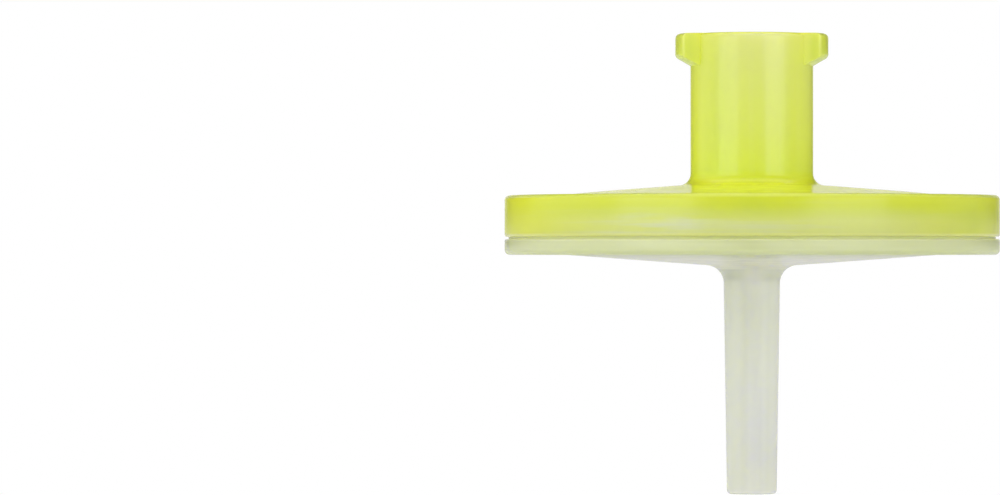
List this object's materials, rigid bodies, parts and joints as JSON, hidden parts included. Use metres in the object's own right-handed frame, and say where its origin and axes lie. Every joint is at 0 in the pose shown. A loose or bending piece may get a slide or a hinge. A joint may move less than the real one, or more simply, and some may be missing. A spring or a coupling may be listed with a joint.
{
  "type": "syringe filter",
  "caption": "Disc filter for a syringe: female Luer lock inlet with locking lugs, clamped membrane, slender tapered outlet tip.",
  "frame": {"origin": "centre of the inlet's mouth, in the plane of the end face that a syringe's collar screws down to", "axes": "+Z along the flow axis, out of the inlet's mouth, so the disc lies square to Z and the outlet tip points along -Z; +X and -X through the middle of the two locking lugs"},
  "size_m": [0.0252, 0.0252, 0.0234],
  "materials": {
    "yellow_polypropylene": "gloss, moulded, tinted translucent",
    "membrane_white": "matt",
    "natural_polypropylene": "gloss, moulded, milky translucent"
  },
  "bodies": {
    "root": {"inlet_housing": "yellow_polypropylene", "membrane": "membrane_white", "outlet_housing": "natural_polypropylene"}
  },
  "joints": []
}
